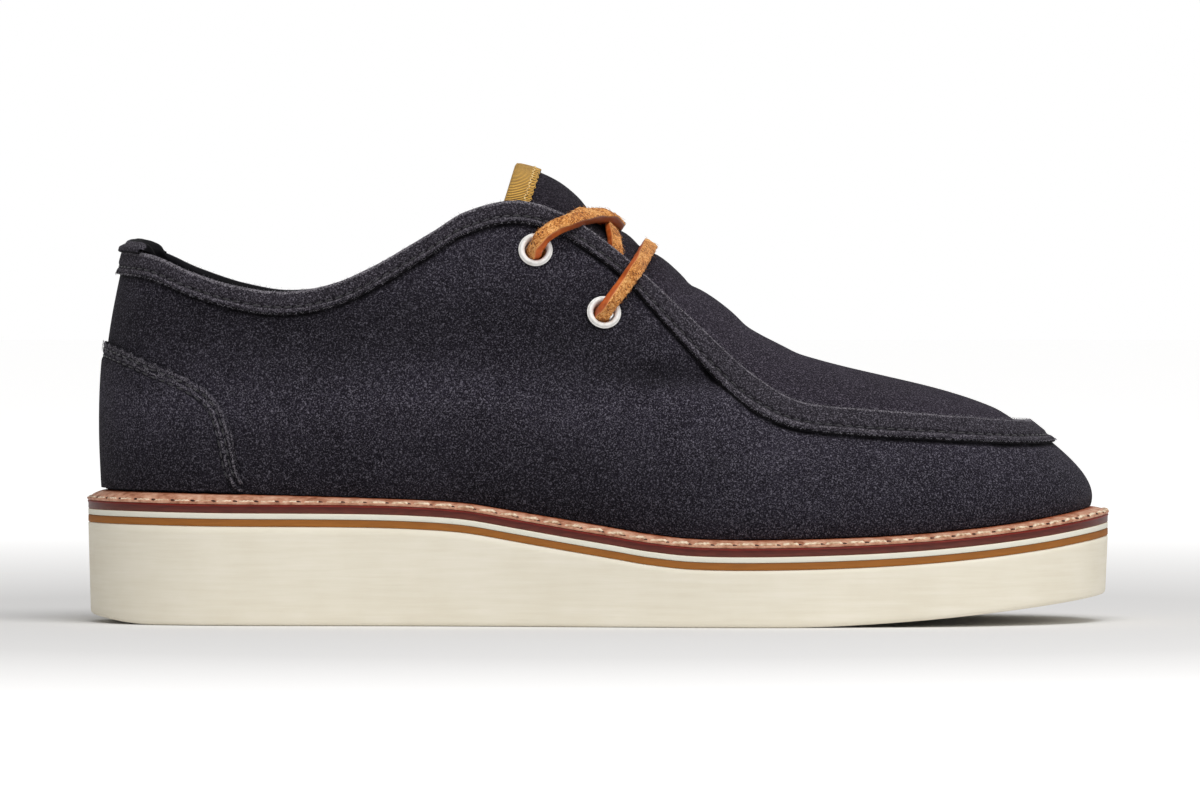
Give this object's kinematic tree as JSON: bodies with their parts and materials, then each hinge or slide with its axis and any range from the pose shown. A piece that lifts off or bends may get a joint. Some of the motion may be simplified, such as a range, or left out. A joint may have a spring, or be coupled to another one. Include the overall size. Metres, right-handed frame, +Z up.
{
  "type": "moccasin toe chukka shoe",
  "caption": "Low laced chukka-style shoe with a moccasin toe, a suede upper open at the collar, and a flat wedge sole under a stitched welt.",
  "frame": {"origin": "on the flat underside of the outsole, half way along the shoe's length and on the heel's middle line", "axes": "+X towards the toe, +Z up, -Y towards the lateral side of this right shoe"},
  "size_m": [0.2957, 0.1056, 0.1325],
  "materials": {
    "suede": "matte napped suede",
    "suede_band": "matte napped suede",
    "grosgrain": "ribbed ribbon",
    "enamel": "smooth enamel",
    "thong": "cut thong, rough flesh side and smooth grain side",
    "insole_leather": "smooth lining leather",
    "welt_leather": "natural vegetable-tanned",
    "burnished_leather": "burnished edge",
    "white_layer": "matte foam",
    "tan_layer": "matte",
    "cream_rubber": "matte foamed rubber"
  },
  "bodies": {
    "root": {"upper": "suede", "apron_tongue": "suede", "heel_counter": "suede", "heel_tab": "suede", "collar_band": "suede_band", "tongue_binding": "grosgrain", "eyelet_lateral_upper": "enamel", "eyelet_lateral_lower": "enamel", "eyelet_medial_upper": "enamel", "eyelet_medial_lower": "enamel", "lace_lower_bar": "thong", "lace_upper_bar": "thong", "lace_crossing": "thong", "insole": "insole_leather", "welt": "welt_leather", "midsole_leather": "burnished_leather", "midsole_white": "white_layer", "midsole_tan": "tan_layer", "outsole": "cream_rubber"}
  },
  "joints": []
}
